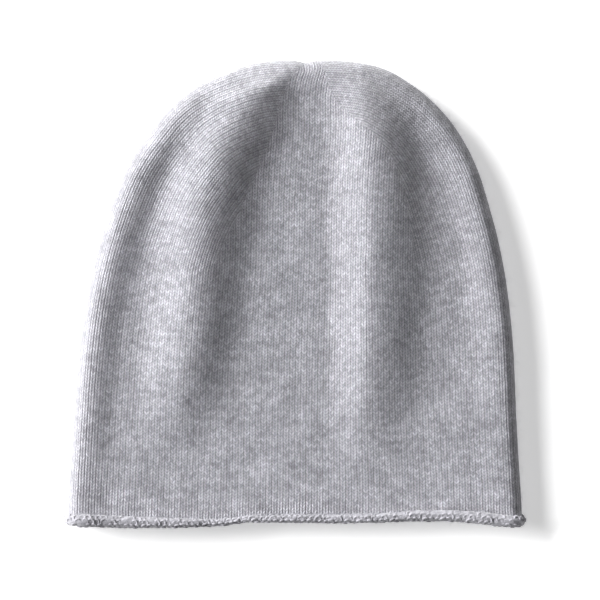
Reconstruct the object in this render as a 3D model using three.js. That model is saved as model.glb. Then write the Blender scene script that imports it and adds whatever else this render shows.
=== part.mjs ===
import * as THREE from "three";

// A slouchy knitted beanie, lying flat on its back wall. +Z is up out of the table, +Y runs from
// the mouth to the gathered tip and +X is to the right of someone who looks down on it.
// All sizes are in millimetres. The tables give shares of the sizes that their comments name.

// Sizes of the cap as it lies
const LENGTH = 237; // lower edge of the hem to the tip
const HALF_WIDTH = 115; // middle of the hem to its side
const WALL = 2; // one layer of the knit
const SIDE_HEIGHT = 7; // height of the outermost line of the sides, half the thickness of the cap
const SIDE_ROLL = 5.5; // how far in from the sides the front wall is still rounding over
const CROWN_ROLL = 7; // the same at the tip, where the cap runs out more gently
const BACK_ROLL = 4; // how far in from the sides the back wall leaves the table
const FOLD_HEIGHT = 8; // crest of the taller fold over the flat of the front wall
const RIM_HEIGHT = 2.4; // swelling of the front wall just inside the sides
const RIM_INSET = 9; // its crest from the side
const RIM_REACH = 13; // its crest to its foot
const NOTCH_DEPTH = 1.6; // dip of the tip between its two shoulders
const NOTCH_HALF_WIDTH = 4;
const NOTCH_REACH = 14; // how far down from the tip the dip fades out

// Sizes of the rolled hem
const ROLL_THICK = 6.2; // where the curl is thickest
const ROLL_GAP = 0.3; // between the roll and the end of the wall
const ROLL_CLEAR = 0.1; // between the table and the lowest line of the roll
const HEM_RAMP = 12; // length over which the back wall climbs onto the roll

// How finely the walls are divided
const CROWN_RINGS = 17;
const BODY_RINGS = 13;
const HEM_RINGS = 4;
const FRONT_STEPS = 38; // across the front wall between its two rounded sides
const BACK_STEPS = 12;
const ROUND_STEPS = 4; // over each rounded side
const ROLL_STEPS = 96; // round the mouth
const ROLL_SIDES = 8;

// The outline seen from above. down: share of LENGTH from the tip. left and right: shares of
// HALF_WIDTH from the line through the middle of the hem. The tip leans a little to the right.
const OUTLINE = [
  { down: 0, left: 0.044, right: 0.044 },
  { down: 0.0065, left: -0.162, right: 0.286 },
  { down: 0.0194, left: -0.257, right: 0.392 },
  { down: 0.0452, left: -0.384, right: 0.49 },
  { down: 0.0839, left: -0.508, right: 0.596 },
  { down: 0.1484, left: -0.628, right: 0.712 },
  { down: 0.2344, left: -0.743, right: 0.806 },
  { down: 0.3204, left: -0.814, right: 0.862 },
  { down: 0.4065, left: -0.867, right: 0.907 },
  { down: 0.4925, left: -0.909, right: 0.938 },
  { down: 0.6215, left: -0.951, right: 0.965 },
  { down: 0.7505, left: -0.974, right: 0.977 },
  { down: 0.8366, left: -0.987, right: 0.986 },
  { down: 0.944, left: -1.002, right: 1.0 },
  { down: 1, left: -1.006, right: 1.004 },
];

// The two soft folds that run down from the tip on the front wall. down: share of LENGTH from the
// tip. crest: where the top of the fold lies. left and right: how far its two slopes reach from
// there. These three are shares of HALF_WIDTH. height: share of FOLD_HEIGHT.
const FOLDS = [
  {
    rows: [
      { down: 0.02, crest: -0.06, left: 0.16, right: 0.07, height: 0 },
      { down: 0.05, crest: -0.12, left: 0.24, right: 0.14, height: 0.48 },
      { down: 0.1, crest: -0.212, left: 0.26, right: 0.26, height: 0.86 },
      { down: 0.15, crest: -0.282, left: 0.25, right: 0.3, height: 1 },
      { down: 0.21, crest: -0.337, left: 0.24, right: 0.29, height: 1.08 },
      { down: 0.3, crest: -0.393, left: 0.235, right: 0.29, height: 1.1 },
      { down: 0.385, crest: -0.419, left: 0.235, right: 0.28, height: 1.02 },
      { down: 0.47, crest: -0.435, left: 0.24, right: 0.26, height: 0.96 },
      { down: 0.557, crest: -0.448, left: 0.25, right: 0.25, height: 0.92 },
      { down: 0.643, crest: -0.468, left: 0.26, right: 0.24, height: 0.78 },
      { down: 0.729, crest: -0.52, left: 0.24, right: 0.24, height: 0.48 },
      { down: 0.8, crest: -0.56, left: 0.22, right: 0.25, height: 0.2 },
      { down: 0.87, crest: -0.6, left: 0.22, right: 0.25, height: 0 },
    ],
  },
  {
    rows: [
      { down: 0.02, crest: 0.2, left: 0.12, right: 0.08, height: 0 },
      { down: 0.05, crest: 0.284, left: 0.19, right: 0.12, height: 0.32 },
      { down: 0.1, crest: 0.322, left: 0.215, right: 0.22, height: 0.68 },
      { down: 0.15, crest: 0.34, left: 0.22, right: 0.24, height: 0.86 },
      { down: 0.21, crest: 0.339, left: 0.22, right: 0.26, height: 0.96 },
      { down: 0.3, crest: 0.342, left: 0.225, right: 0.29, height: 1 },
      { down: 0.385, crest: 0.338, left: 0.22, right: 0.3, height: 0.98 },
      { down: 0.47, crest: 0.333, left: 0.2, right: 0.3, height: 0.92 },
      { down: 0.557, crest: 0.33, left: 0.2, right: 0.29, height: 0.86 },
      { down: 0.643, crest: 0.327, left: 0.2, right: 0.28, height: 0.72 },
      { down: 0.729, crest: 0.32, left: 0.18, right: 0.25, height: 0.52 },
      { down: 0.8, crest: 0.31, left: 0.17, right: 0.24, height: 0.28 },
      { down: 0.88, crest: 0.3, left: 0.17, right: 0.24, height: 0.1 },
      { down: 0.93, crest: 0.3, left: 0.17, right: 0.24, height: 0 },
    ],
  },
];

// The hollows that the folds leave beside them, with the same columns.
const HOLLOWS = [
  {
    rows: [
      { down: 0.1, crest: 0.5, left: 0.15, right: 0.13, height: 0 },
      { down: 0.21, crest: 0.62, left: 0.2, right: 0.16, height: -0.14 },
      { down: 0.47, crest: 0.7, left: 0.25, right: 0.18, height: -0.2 },
      { down: 0.643, crest: 0.7, left: 0.3, right: 0.2, height: -0.18 },
      { down: 0.8, crest: 0.6, left: 0.25, right: 0.25, height: 0 },
    ],
  },
];

// How strongly the sides swell. down: share of LENGTH from the tip. left and right: shares of
// RIM_HEIGHT at the two sides.
const RIMS = [
  { down: 0, left: 0, right: 0 },
  { down: 0.05, left: 0.3, right: 0.2 },
  { down: 0.15, left: 0.9, right: 0.4 },
  { down: 0.4, left: 1.1, right: 0.7 },
  { down: 0.7, left: 0.9, right: 0.35 },
  { down: 0.9, left: 0.4, right: 0.2 },
  { down: 1, left: 0.3, right: 0.1 },
];

// The roll along the front of the mouth. across: share of HALF_WIDTH. rise: height of its middle
// line over the foot of the outline, and thick: its thickness, as shares of ROLL_THICK.
const FRONT_ROLL = [
  { across: -1, rise: 0.55, thick: 0.95 },
  { across: -0.93, rise: 0.52, thick: 1 },
  { across: -0.51, rise: 0.34, thick: 0.8 },
  { across: -0.365, rise: 0.34, thick: 0.56 },
  { across: -0.277, rise: 0.47, thick: 0.5 },
  { across: -0.202, rise: 0.68, thick: 0.55 },
  { across: -0.084, rise: 0.69, thick: 0.67 },
  { across: 0.2, rise: 0.68, thick: 0.74 },
  { across: 0.334, rise: 0.72, thick: 0.76 },
  { across: 0.571, rise: 0.93, thick: 0.85 },
  { across: 0.69, rise: 0.92, thick: 0.89 },
  { across: 0.809, rise: 0.76, thick: 1 },
  { across: 0.954, rise: 0.45, thick: 0.98 },
  { across: 1, rise: 0.42, thick: 0.95 },
];

// The same two shares along the back of the mouth, which lies hidden on the table
const BACK_RISE_SHARE = 0.7;
const BACK_THICK_SHARE = 0.66;

// Shares of LENGTH from the tip
const CROWN_SHARE = 0.35; // where CROWN_ROLL has given way to SIDE_ROLL
const CROWN_RINGS_SHARE = 0.42; // where the rings that lie close together at the tip end
const HEM_RINGS_SHARE = 0.88; // where those of the hem begin

// Other shares
const FOLD_FADE_SHARE = 2; // the folds reach full height this many rolls in from the sides
const ROUND_SHARE = 0.3; // most of half a ring's width that one rounded side may take
const HEM_WAVE_POWER = 3; // how fast the hem's wave dies out up the wall

function smooth(share) {
  const t = Math.min(1, Math.max(0, share));
  return t * t * (3 - 2 * t);
}

function mix(from, to, share) {
  return from + (to - from) * share;
}

// Slope of a table's column at one row, zero at a peak, so that the curve never overshoots
function slopeAt(rows, place, column, index) {
  const secant = (i) =>
    (rows[i + 1][column] - rows[i][column]) / (rows[i + 1][place] - rows[i][place]);
  if (index === 0) {
    return secant(0);
  }
  if (index === rows.length - 1) {
    return secant(index - 1);
  }
  const before = secant(index - 1);
  const after = secant(index);
  return before * after > 0 ? (2 * before * after) / (before + after) : 0;
}

// A column of a table, read between its rows along a smooth curve
function read(rows, place, column, at) {
  const last = rows.length - 1;
  if (at <= rows[0][place]) {
    return rows[0][column];
  }
  if (at >= rows[last][place]) {
    return rows[last][column];
  }
  let i = 0;
  while (at > rows[i + 1][place]) {
    i += 1;
  }
  const span = rows[i + 1][place] - rows[i][place];
  const t = (at - rows[i][place]) / span;
  const square = t * t;
  const cube = square * t;
  return (
    (2 * cube - 3 * square + 1) * rows[i][column] +
    (cube - 2 * square + t) * span * slopeAt(rows, place, column, i) +
    (3 * square - 2 * cube) * rows[i + 1][column] +
    (cube - square) * span * slopeAt(rows, place, column, i + 1)
  );
}

// The outline is read along the root of the way down from the tip, which suits its round top
const ROUND_OUTLINE = OUTLINE.map((row) => ({ ...row, root: Math.sqrt(row.down) }));

function sideAt(side, down) {
  return HALF_WIDTH * read(ROUND_OUTLINE, "root", side, Math.sqrt(Math.max(0, down)));
}

// The outline as a line of points, carried on straight below the hem
const OUTLINE_STEPS = 90;

function outlineLine(side) {
  const points = [];
  for (let i = 0; i <= OUTLINE_STEPS; i += 1) {
    const down = (i / OUTLINE_STEPS) ** 2;
    points.push(new THREE.Vector2(sideAt(side, down), LENGTH * (1 - down)));
  }
  points.push(new THREE.Vector2(sideAt(side, 1), -LENGTH));
  return points;
}

const SIDE_LINES = { left: outlineLine("left"), right: outlineLine("right") };

function distanceToSegment(point, start, end) {
  const along = end.clone().sub(start);
  const t = point.clone().sub(start).dot(along) / along.lengthSq();
  return point.distanceTo(start.clone().addScaledVector(along, Math.min(1, Math.max(0, t))));
}

// How far a place is from one side of the outline
function insetFrom(side, x, y) {
  const line = SIDE_LINES[side];
  const point = new THREE.Vector2(x, y);
  let nearest = Infinity;
  for (let i = 1; i < line.length; i += 1) {
    nearest = Math.min(nearest, distanceToSegment(point, line[i - 1], line[i]));
  }
  return nearest;
}

// A quarter of an ellipse: 0 at the side, 1 from the roll inwards
function rounding(inset, roll) {
  const t = Math.min(1, inset / roll);
  return Math.sqrt(1 - (1 - t) ** 2);
}

// Height of a fold or hollow over the flat front wall
function foldHeight(fold, x, down) {
  const at = (column) => read(fold.rows, "down", column, down);
  const reach = x < HALF_WIDTH * at("crest") ? at("left") : at("right");
  const away = Math.abs(x / HALF_WIDTH - at("crest")) / reach;
  return FOLD_HEIGHT * at("height") * (away < 1 ? 0.5 + 0.5 * Math.cos(Math.PI * away) : 0);
}

function rimHeight(side, inset, down) {
  const away = Math.abs(inset - RIM_INSET) / RIM_REACH;
  return RIM_HEIGHT * read(RIMS, "down", side, down) * (1 - smooth(away));
}

// Height of the front wall's outer face
function frontHeight(x, y) {
  const down = 1 - y / LENGTH;
  const left = insetFrom("left", x, y);
  const right = insetFrom("right", x, y);
  const inset = Math.min(left, right);
  const roll = mix(CROWN_ROLL, SIDE_ROLL, smooth(down / CROWN_SHARE));
  let height = SIDE_HEIGHT * (1 + rounding(inset, roll));
  for (const fold of [...FOLDS, ...HOLLOWS]) {
    height += foldHeight(fold, x, down) * smooth(inset / (FOLD_FADE_SHARE * roll));
  }
  height += (rimHeight("left", left, down) + rimHeight("right", right, down)) * rounding(inset, roll);
  return height;
}

// Height of the back wall's outer face, which climbs onto the roll near the mouth
function backHeight(x, y) {
  const down = 1 - y / LENGTH;
  const inset = Math.min(insetFrom("left", x, y), insetFrom("right", x, y));
  const flat = rounding(inset, mix(CROWN_ROLL, BACK_ROLL, smooth(down / CROWN_SHARE)));
  const climb = 1 - smooth((y - mouthBack()) / HEM_RAMP);
  const rise = ROLL_THICK * BACK_THICK_SHARE + ROLL_CLEAR - WALL;
  return SIDE_HEIGHT * (1 - flat) + flat * climb * rise;
}

function mouthBack() {
  return ROLL_THICK * (BACK_RISE_SHARE + BACK_THICK_SHARE / 2) + ROLL_GAP;
}

// Where one place on the mouth lies between the back, 0, and the front, 1
function rollAt(x, frontShare) {
  const across = x / HALF_WIDTH;
  const rise = mix(BACK_RISE_SHARE, read(FRONT_ROLL, "across", "rise", across), frontShare);
  const thick = mix(BACK_THICK_SHARE, read(FRONT_ROLL, "across", "thick", across), frontShare);
  return { middle: ROLL_THICK * rise, thick: ROLL_THICK * thick };
}

// Places across a level of the cap from its left side to its right, closer where it rounds over
function placesAcross(left, right, steps, roll) {
  const rounded = Math.min(roll, (ROUND_SHARE * (right - left)) / 2);
  const places = [];
  for (let i = 0; i < ROUND_STEPS; i += 1) {
    places.push(left + rounded * (1 - Math.cos((Math.PI / 2) * (i / ROUND_STEPS))));
  }
  for (let i = 0; i <= steps; i += 1) {
    places.push(mix(left + rounded, right - rounded, i / steps));
  }
  for (let i = ROUND_STEPS - 1; i >= 0; i -= 1) {
    places.push(right - rounded * (1 - Math.cos((Math.PI / 2) * (i / ROUND_STEPS))));
  }
  return places;
}

// How far down each ring of the walls lies
const MOUTH_LEVEL = 1 - mouthBack() / LENGTH;

function ringLevels() {
  const levels = [];
  for (let i = 1; i <= CROWN_RINGS; i += 1) {
    levels.push(CROWN_RINGS_SHARE * (i / CROWN_RINGS) ** 2);
  }
  for (let i = 1; i <= BODY_RINGS; i += 1) {
    levels.push(mix(CROWN_RINGS_SHARE, HEM_RINGS_SHARE, i / BODY_RINGS));
  }
  for (let i = 1; i <= HEM_RINGS; i += 1) {
    levels.push(mix(HEM_RINGS_SHARE, MOUTH_LEVEL, i / HEM_RINGS));
  }
  return levels;
}

function notch(x, y) {
  const tip = sideAt("left", 0);
  const across = Math.exp(-(((x - tip) / NOTCH_HALF_WIDTH) ** 2));
  return NOTCH_DEPTH * across * (1 - smooth((LENGTH - y) / NOTCH_REACH));
}

// One ring of the outer face: left side, over the front to the right side, and round the back.
// hemShift moves each of its points along the cap, so that the last ring follows the hem's wave.
function outerRing(down, hemShift) {
  const left = sideAt("left", down);
  const right = sideAt("right", down);
  const front = placesAcross(left, right, FRONT_STEPS, SIDE_ROLL);
  const back = placesAcross(left, right, BACK_STEPS, BACK_ROLL).slice(1, -1).reverse();
  const level = LENGTH * (1 - down);
  const points = [];
  [...front, ...back].forEach((x, i) => {
    const onFront = i < front.length;
    const y = level + (hemShift ? hemShift[i] : 0);
    const onSide = i === 0 || i === front.length - 1;
    const z = onFront ? frontHeight(x, y) : backHeight(x, y);
    points.push(new THREE.Vector3(x, y - notch(x, y), onSide ? SIDE_HEIGHT : z));
  });
  return points;
}

// How much a ring's points face the front, from 0 on the back to 1
function frontShares(ring) {
  return ring.map((point, i) => {
    const before = ring[(i + ring.length - 1) % ring.length];
    const after = ring[(i + 1) % ring.length];
    const along = after.clone().sub(before);
    return 0.5 + (0.5 * along.x) / Math.hypot(along.x, along.z);
  });
}

function outerRings() {
  const mouth = outerRing(MOUTH_LEVEL);
  const shares = frontShares(mouth);
  const shift = mouth.map((point, i) => {
    const roll = rollAt(point.x, shares[i]);
    return roll.middle + roll.thick / 2 + ROLL_GAP - mouthBack();
  });
  return ringLevels().map((down) => {
    const below = (down - CROWN_RINGS_SHARE) / (MOUTH_LEVEL - CROWN_RINGS_SHARE);
    const nearHem = smooth(below) ** HEM_WAVE_POWER;
    return outerRing(down, shift.map((value) => value * nearHem));
  });
}

// Outward directions of the points of all rings
function outwardDirections(rings, tip) {
  return rings.map((ring, k) =>
    ring.map((point, i) => {
      const before = ring[(i + ring.length - 1) % ring.length];
      const after = ring[(i + 1) % ring.length];
      const above = k === 0 ? tip : rings[k - 1][i];
      const below = k === rings.length - 1 ? point : rings[k + 1][i];
      const round = after.clone().sub(before);
      const outward = above.clone().sub(below).cross(round).negate();
      if (k === rings.length - 1) {
        outward.y = 0;
      }
      return outward.normalize();
    }),
  );
}

// Rings of equal length from the tip to the mouth, as numbered points and triangles
function addCap(points, faces, tip, rings, inward) {
  const put = (a, b, c) => faces.push(...(inward ? [a, c, b] : [a, b, c]));
  const first = points.length;
  points.push(tip, ...rings.flat());
  const count = rings[0].length;
  const at = (k, i) => first + 1 + k * count + (i % count);
  for (let i = 0; i < count; i += 1) {
    put(first, at(0, i), at(0, i + 1));
    for (let k = 1; k < rings.length; k += 1) {
      put(at(k - 1, i), at(k, i), at(k, i + 1));
      put(at(k - 1, i), at(k, i + 1), at(k - 1, i + 1));
    }
  }
  return (i) => at(rings.length - 1, i);
}

function geometryOf(points, faces) {
  const geometry = new THREE.BufferGeometry();
  const numbers = points.flatMap((point) => [point.x, point.y, point.z]);
  geometry.setAttribute("position", new THREE.Float32BufferAttribute(numbers, 3));
  geometry.setIndex(faces);
  geometry.computeVertexNormals();
  return geometry;
}

// The body: an outer and an inner face from the tip to the mouth, joined by the wall's end
function bodyGeometry(rings) {
  const tip = new THREE.Vector3(sideAt("left", 0), LENGTH, SIDE_HEIGHT);
  tip.y -= notch(tip.x, tip.y);
  const outward = outwardDirections(rings, tip);
  const innerRings = rings.map((ring, k) =>
    ring.map((point, i) => point.clone().addScaledVector(outward[k][i], -WALL)),
  );
  const innerTip = tip.clone().setY(tip.y - WALL);
  const points = [];
  const faces = [];
  const outerEnd = addCap(points, faces, tip, rings, false);
  const innerEnd = addCap(points, faces, innerTip, innerRings, true);
  for (let i = 0; i < rings[0].length; i += 1) {
    faces.push(outerEnd(i), innerEnd(i), outerEnd(i + 1));
    faces.push(outerEnd(i + 1), innerEnd(i), innerEnd(i + 1));
  }
  return geometryOf(points, faces);
}

// The roll: a closed tube that follows the middle of the wall's end and stands outside it
function rollGeometry(mouth) {
  const direction = mouth.map((point, i) => {
    const before = mouth[(i + mouth.length - 1) % mouth.length];
    const after = mouth[(i + 1) % mouth.length];
    return new THREE.Vector3(before.z - after.z, 0, after.x - before.x).normalize();
  });
  const middleOfWall = mouth.map((point, i) =>
    new THREE.Vector3(point.x, 0, point.z).addScaledVector(direction[i], -WALL / 2),
  );
  const path = new THREE.CatmullRomCurve3(middleOfWall, true);
  const points = [];
  const faces = [];
  for (let k = 0; k < ROLL_STEPS; k += 1) {
    const along = path.getTangentAt(k / ROLL_STEPS);
    const out = new THREE.Vector3(-along.z, 0, along.x).normalize();
    const centre = path.getPointAt(k / ROLL_STEPS);
    const roll = rollAt(centre.x, 0.5 + 0.5 * out.z);
    centre.addScaledVector(out, (Math.abs(out.z) * (roll.thick - WALL)) / 2);
    centre.y = roll.middle;
    for (let i = 0; i < ROLL_SIDES; i += 1) {
      const turn = (2 * Math.PI * i) / ROLL_SIDES;
      const point = centre.clone().addScaledVector(out, (Math.cos(turn) * roll.thick) / 2);
      point.y += (Math.sin(turn) * roll.thick) / 2;
      points.push(point);
      const here = k * ROLL_SIDES;
      const next = ((k + 1) % ROLL_STEPS) * ROLL_SIDES;
      const j = (i + 1) % ROLL_SIDES;
      faces.push(here + i, next + i, here + j, here + j, next + i, next + j);
    }
  }
  return geometryOf(points, faces);
}

const KNIT_COLOUR = 0xb9b8bf;
const HEM_COLOUR = 0xc3c2c9;
const KNIT_ROUGHNESS = 0.95;

function piece(name, geometry, color) {
  const look = { color, roughness: KNIT_ROUGHNESS, metalness: 0 };
  const material = new THREE.MeshStandardMaterial(look);
  const mesh = new THREE.Mesh(geometry, material);
  mesh.name = name;
  return mesh;
}

const rings = outerRings();
const cap = new THREE.Group();
cap.add(piece("knit_body", bodyGeometry(rings), KNIT_COLOUR));
cap.add(piece("rolled_hem", rollGeometry(rings[rings.length - 1]), HEM_COLOUR));

// The origin lies on the table, under the middle of the whole cap
const extent = new THREE.Box3().setFromObject(cap);
const middle = extent.getCenter(new THREE.Vector3());
for (const mesh of cap.children) {
  mesh.geometry.translate(-middle.x, -middle.y, -extent.min.z);
}

export default cap;
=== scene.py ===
# %% [markdown]
# A slouchy beanie in fine heather-grey knit, lying flat on a pale table.
#
# This file is a lesson in cells. Each step first says what the piece or finish is on the real
# cap, then how it could be made in Blender, and why it is made the way it is here. The sizes
# are in metres. The cap lies on its back wall: +Z is up out of the table, +Y runs from the
# mouth to the gathered tip, and +X is to the right of someone who looks down on it.

# %% Load the frame
import math
import bpy
import numpy as np
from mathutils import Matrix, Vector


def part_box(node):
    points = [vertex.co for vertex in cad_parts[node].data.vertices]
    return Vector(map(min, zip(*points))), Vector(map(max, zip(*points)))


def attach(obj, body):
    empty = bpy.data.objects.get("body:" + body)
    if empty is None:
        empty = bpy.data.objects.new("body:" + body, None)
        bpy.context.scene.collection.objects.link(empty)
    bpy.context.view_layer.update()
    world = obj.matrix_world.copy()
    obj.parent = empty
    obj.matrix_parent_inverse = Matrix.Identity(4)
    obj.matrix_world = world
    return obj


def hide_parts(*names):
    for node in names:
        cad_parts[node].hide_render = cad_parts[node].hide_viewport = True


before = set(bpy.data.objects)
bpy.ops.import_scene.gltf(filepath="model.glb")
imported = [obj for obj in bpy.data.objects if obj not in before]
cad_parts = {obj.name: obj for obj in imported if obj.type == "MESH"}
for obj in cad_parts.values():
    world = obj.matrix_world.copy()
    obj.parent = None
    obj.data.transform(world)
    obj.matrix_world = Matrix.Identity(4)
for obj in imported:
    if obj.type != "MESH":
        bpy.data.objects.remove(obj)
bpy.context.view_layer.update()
body_low, body_high = (np.array(corner, float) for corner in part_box("knit_body"))
print("the solid cap is", [round(float(v), 4) for v in body_high - body_low], "m")

# %% [markdown]
# The cap's shape follows a few sizes and some short tables of sections, as a pattern cutter
# would note them. One could also sculpt it or let a cloth simulation settle it, but then a
# fold could not be put where the photo has it. The tables give shares of the sizes, so a
# wider or longer cap keeps the same look.

# %% Sizes of the cap
LENGTH = 0.237  # lower edge of the hem to the tip
HALF_WIDTH = 0.115  # middle of the hem to its side
WALL = 0.002  # one layer of the knit
SIDE_HEIGHT = 0.007  # height of the outermost line of the sides
SIDE_ROLL = 0.0055  # how far in from the sides the front wall rounds over
CROWN_ROLL = 0.007  # the same at the tip
BACK_ROLL = 0.004  # how far in from the sides the back wall leaves the table
FOLD_HEIGHT = 0.008  # crest of the taller fold over the flat of the front wall
RIM_HEIGHT = 0.0024  # swelling just inside the sides
RIM_INSET = 0.009
RIM_REACH = 0.013
NOTCH_DEPTH = 0.0016  # dip of the tip between its two shoulders
NOTCH_HALF_WIDTH = 0.004
NOTCH_REACH = 0.014
ROLL_THICK = 0.0062  # the rolled hem where it is thickest
ROLL_GAP = -0.0007  # the wall's end runs this far into the roll, as the curl starts from it
ROLL_CLEAR = 0.0001
HEM_RAMP = 0.012  # length over which the back wall climbs onto the roll
HEM_WAVE_POWER = 3  # how fast the hem's wave dies out up the wall
FOLD_FADE_SHARE = 2  # the folds reach full height this many rolls in from the sides
BACK_RISE_SHARE = 0.7  # share of ROLL_THICK, as in the table of the front roll
BACK_THICK_SHARE = 0.66
CROWN_SHARE = 0.35  # share of LENGTH from the tip over which the crown's rounding fades

# %% Tables of sections


def table(columns, *rows):
    """A table with named columns: a dictionary of arrays."""
    values = np.array(rows, float)
    return {name: values[:, i] for i, name in enumerate(columns.split())}


# down: share of LENGTH from the tip. left, right: shares of HALF_WIDTH from the middle line.
OUTLINE = table(
    "down left right",
    (0, 0.044, 0.044),
    (0.0065, -0.162, 0.286),
    (0.0194, -0.257, 0.392),
    (0.0452, -0.384, 0.49),
    (0.0839, -0.508, 0.596),
    (0.1484, -0.628, 0.712),
    (0.2344, -0.743, 0.806),
    (0.3204, -0.814, 0.862),
    (0.4065, -0.867, 0.907),
    (0.4925, -0.909, 0.938),
    (0.6215, -0.951, 0.965),
    (0.7505, -0.974, 0.977),
    (0.8366, -0.987, 0.986),
    (0.944, -1.002, 1.0),
    (1, -1.006, 1.004),
)
# Folds and hollows of the front wall: where the crest lies and how far its two slopes reach,
# as shares of HALF_WIDTH, and the height as a share of FOLD_HEIGHT.
FOLD_COLUMNS = "down crest left right height"
LEFT_FOLD = table(
    FOLD_COLUMNS,
    (0.02, -0.06, 0.16, 0.07, 0),
    (0.05, -0.12, 0.24, 0.14, 0.48),
    (0.1, -0.212, 0.26, 0.26, 0.86),
    (0.15, -0.282, 0.25, 0.3, 1),
    (0.21, -0.337, 0.24, 0.29, 1.08),
    (0.3, -0.393, 0.235, 0.29, 1.1),
    (0.385, -0.419, 0.235, 0.28, 1.02),
    (0.47, -0.435, 0.24, 0.26, 0.96),
    (0.557, -0.448, 0.25, 0.25, 0.92),
    (0.643, -0.468, 0.26, 0.24, 0.78),
    (0.729, -0.52, 0.24, 0.24, 0.48),
    (0.8, -0.56, 0.22, 0.25, 0.2),
    (0.87, -0.6, 0.22, 0.25, 0),
)
RIGHT_FOLD = table(
    FOLD_COLUMNS,
    (0.02, 0.2, 0.12, 0.08, 0),
    (0.05, 0.284, 0.19, 0.12, 0.32),
    (0.1, 0.322, 0.215, 0.22, 0.68),
    (0.15, 0.34, 0.22, 0.24, 0.86),
    (0.21, 0.339, 0.22, 0.26, 0.96),
    (0.3, 0.342, 0.225, 0.29, 1),
    (0.385, 0.338, 0.22, 0.3, 0.98),
    (0.47, 0.333, 0.2, 0.3, 0.92),
    (0.557, 0.33, 0.2, 0.29, 0.86),
    (0.643, 0.327, 0.2, 0.28, 0.72),
    (0.729, 0.32, 0.18, 0.25, 0.52),
    (0.8, 0.31, 0.17, 0.24, 0.28),
    (0.88, 0.3, 0.17, 0.24, 0.1),
    (0.93, 0.3, 0.17, 0.24, 0),
)
RIGHT_HOLLOW = table(
    FOLD_COLUMNS,
    (0.1, 0.5, 0.15, 0.13, 0),
    (0.21, 0.62, 0.2, 0.16, -0.14),
    (0.47, 0.7, 0.25, 0.18, -0.2),
    (0.643, 0.7, 0.3, 0.2, -0.18),
    (0.8, 0.6, 0.25, 0.25, 0),
)
# How strongly the two sides swell, as shares of RIM_HEIGHT
RIMS = table(
    "down left right",
    (0, 0, 0),
    (0.05, 0.3, 0.2),
    (0.15, 0.9, 0.4),
    (0.4, 1.1, 0.7),
    (0.7, 0.9, 0.35),
    (0.9, 0.4, 0.2),
    (1, 0.3, 0.1),
)
# The roll along the front of the mouth. across: share of HALF_WIDTH. rise: height of its middle
# line over the foot of the outline, and thick: its thickness, as shares of ROLL_THICK.
FRONT_ROLL = table(
    "across rise thick",
    (-1, 0.55, 0.95),
    (-0.93, 0.52, 1),
    (-0.51, 0.34, 0.8),
    (-0.365, 0.34, 0.56),
    (-0.277, 0.47, 0.5),
    (-0.202, 0.68, 0.55),
    (-0.084, 0.69, 0.67),
    (0.2, 0.68, 0.74),
    (0.334, 0.72, 0.76),
    (0.571, 0.93, 0.85),
    (0.69, 0.92, 0.89),
    (0.809, 0.76, 1),
    (0.954, 0.45, 0.98),
    (1, 0.42, 0.95),
)
print("tables:", len(LEFT_FOLD["down"]), "rows a fold,", len(OUTLINE["down"]), "rows of outline")

# %% Helpers that read the tables


def smooth(share):
    """0 below 0, 1 above 1, and a soft S between."""
    t = np.clip(share, 0, 1)
    return t * t * (3 - 2 * t)


def mix(start, end, share):
    return start + (end - start) * share


def read(rows, place, column, at):
    """A table's column between its rows, along a curve that never overshoots them."""
    x, y = rows[place], rows[column]
    at = np.clip(np.asarray(at, float), x[0], x[-1])
    secant = np.diff(y) / np.diff(x)
    before, after = secant[:-1], secant[1:]
    same = before * after > 0
    inner = np.where(same, 2 * before * after / np.where(same, before + after, 1), 0)
    slope = np.concatenate([secant[:1], inner, secant[-1:]])
    i = np.clip(np.searchsorted(x, at, side="right") - 1, 0, len(x) - 2)
    span = x[i + 1] - x[i]
    t = (at - x[i]) / span
    return (
        (2 * t**3 - 3 * t**2 + 1) * y[i]
        + (t**3 - 2 * t**2 + t) * span * slope[i]
        + (3 * t**2 - 2 * t**3) * y[i + 1]
        + (t**3 - t**2) * span * slope[i + 1]
    )


def side_at(side, down):
    """X of one side of the outline, read along the root of the way down, to suit its round top."""
    rooted = {**OUTLINE, "root": np.sqrt(OUTLINE["down"])}
    return HALF_WIDTH * read(rooted, "root", side, np.sqrt(np.clip(down, 0, 1)))


print("the cap is", round(float(side_at("right", 1) - side_at("left", 1)), 4), "m wide at its hem")

# %% [markdown]
# The height of the front wall over the table is a sum of simple forms: a side that rounds over
# like a quarter of an ellipse, a slight swelling inside it, and the two long soft folds that
# run down from the gather. How far a place lies from the outline decides the rounding, so
# that distance is worked out first, against a fine line of points along each side. The same
# step notes where along the outline the nearest point is: the stitches of the side gores
# follow that line.

# %% Distance from the outline
OUTLINE_STEPS = 420
POINTS_AT_ONCE = 4000  # keeps each table of distances small


def outline_line(side):
    down = (np.arange(OUTLINE_STEPS + 1) / OUTLINE_STEPS) ** 2
    line = np.stack([side_at(side, down), LENGTH * (1 - down)], axis=1)
    return np.vstack([line, [line[-1, 0], -LENGTH]])


SIDE_LINES = {side: outline_line(side) for side in ("left", "right")}


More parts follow.
